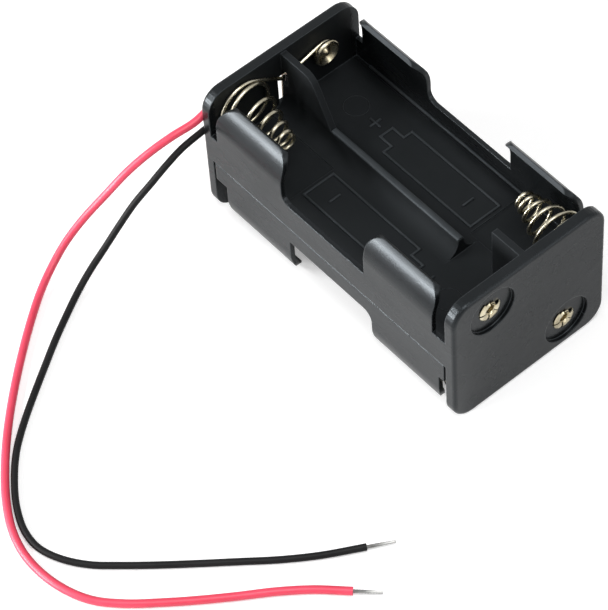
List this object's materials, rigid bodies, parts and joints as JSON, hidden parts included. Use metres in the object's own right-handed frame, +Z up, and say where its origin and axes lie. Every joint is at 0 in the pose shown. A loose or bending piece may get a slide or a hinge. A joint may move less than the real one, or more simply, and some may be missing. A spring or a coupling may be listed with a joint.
{
  "type": "cylindrical cell holder",
  "caption": "Open moulded tray with back-to-back bays for round cells, clip tabs over each cell, conical springs, rivet contacts and two loose leads.",
  "frame": {"origin": "on the standing surface, below the middle of the holder without its leads", "axes": "+X along the cells, from the lead end to the far end; +Z up; -Y is the side over which the leads leave"},
  "size_m": [0.0858, 0.0993, 0.0282],
  "materials": {
    "body_plastic": "satin, very dark grey",
    "spring_steel": "bright, nickel plated",
    "rivet_metal": "bright, nickel plated",
    "red_insulation": "smooth",
    "black_insulation": "smooth",
    "tinned_wire": "bright, tinned",
    "solder": "bright"
  },
  "bodies": {
    "root": {"body": "body_plastic", "spring_1": "spring_steel", "spring_2": "spring_steel", "spring_3": "spring_steel", "spring_4": "spring_steel", "rivet_1": "rivet_metal", "rivet_2": "rivet_metal", "rivet_3": "rivet_metal", "rivet_4": "rivet_metal", "red_lead": "red_insulation", "black_lead": "black_insulation", "red_bare_end": "tinned_wire", "black_bare_end": "tinned_wire", "red_joint": "solder", "black_joint": "solder"}
  },
  "joints": []
}
